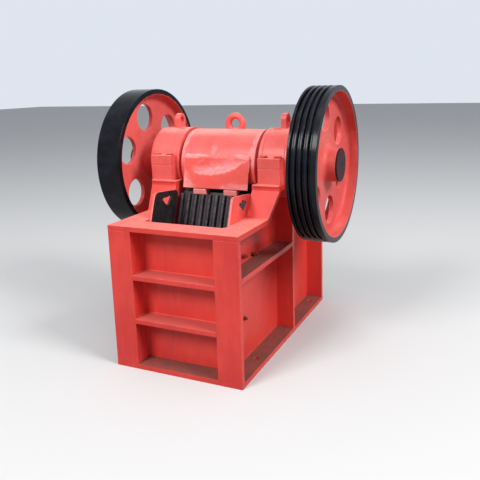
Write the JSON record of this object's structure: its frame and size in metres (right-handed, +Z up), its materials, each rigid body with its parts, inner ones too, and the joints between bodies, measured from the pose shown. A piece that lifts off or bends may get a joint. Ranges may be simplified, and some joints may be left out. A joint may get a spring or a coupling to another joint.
{
  "type": "jaw crusher",
  "caption": "Single-toggle jaw crusher: welded ribbed frame, eccentric shaft with flywheel and belt pulley, hanging swing jaw and feed opening.",
  "frame": {"origin": "on the ground, under the middle of the machine's length and width", "axes": "+Z up, the feed end faces -Y, the belt pulley is on +X"},
  "size_m": [1.222, 1.32, 1.343],
  "materials": {
    "frame_paint": "orange-red brushed paint with dust on level faces",
    "wheel_paint": "black gloss paint on the rim, orange-red web and hub",
    "jaw_steel": "black painted manganese steel casting",
    "cheek_steel": "black inside, orange-red outside",
    "bearing_steel": "ground",
    "shaft_steel": "turned, oiled",
    "toggle_iron": "rough cast",
    "disc_steel": "black"
  },
  "bodies": {
    "frame": {"base_frame": "frame_paint", "front_wall": "frame_paint", "front_ribs": "frame_paint", "front_post_left": "frame_paint", "front_post_right": "frame_paint", "top_plate": "frame_paint", "side_wall_left": "frame_paint", "side_wall_right": "frame_paint", "side_ribs_left": "frame_paint", "side_ribs_right": "frame_paint", "slope_flange_left": "frame_paint", "slope_flange_right": "frame_paint", "bearing_block_left": "frame_paint", "bearing_block_right": "frame_paint", "bearing_cap_left": "frame_paint", "bearing_cap_right": "frame_paint", "bearing_left": "bearing_steel", "bearing_right": "bearing_steel", "bearing_ring_left": "frame_paint", "bearing_ring_right": "frame_paint", "bearing_cover_left": "frame_paint", "bearing_cover_right": "frame_paint", "rear_wall": "frame_paint", "rear_ribs": "frame_paint", "rear_posts": "frame_paint", "toggle_beam": "frame_paint", "toggle_seat": "toggle_iron", "toggle_plate": "toggle_iron", "tension_rod": "shaft_steel", "tension_spring": "shaft_steel", "fixed_jaw_plate": "jaw_steel", "cheek_plate_left": "cheek_steel", "cheek_plate_right": "cheek_steel"},
    "rotor": {"eccentric_shaft": "shaft_steel", "flywheel": "wheel_paint", "drive_pulley": "wheel_paint", "end_disc_left": "disc_steel", "end_disc_right": "disc_steel"},
    "swing_assembly": {"swing_jaw": "frame_paint", "swing_jaw_plate": "jaw_steel", "jaw_clamps": "frame_paint", "head_guard": "frame_paint", "lifting_ring": "frame_paint"}
  },
  "joints": [
    {"name": "rotor_spin", "type": "hinge", "parent": "frame", "child": "rotor", "pos_m": [0, 0.011, 0.948], "axis": [1, 0, 0], "continuous": true},
    {"name": "swing_jaw_journal", "type": "hinge", "parent": "rotor", "child": "swing_assembly", "pos_m": [0, 0.011, 0.938], "axis": [1, 0, 0], "continuous": true}
  ],
  "couplings": [
    {"joint": "swing_jaw_journal", "follows": "rotor_spin", "ratio": -1}
  ]
}
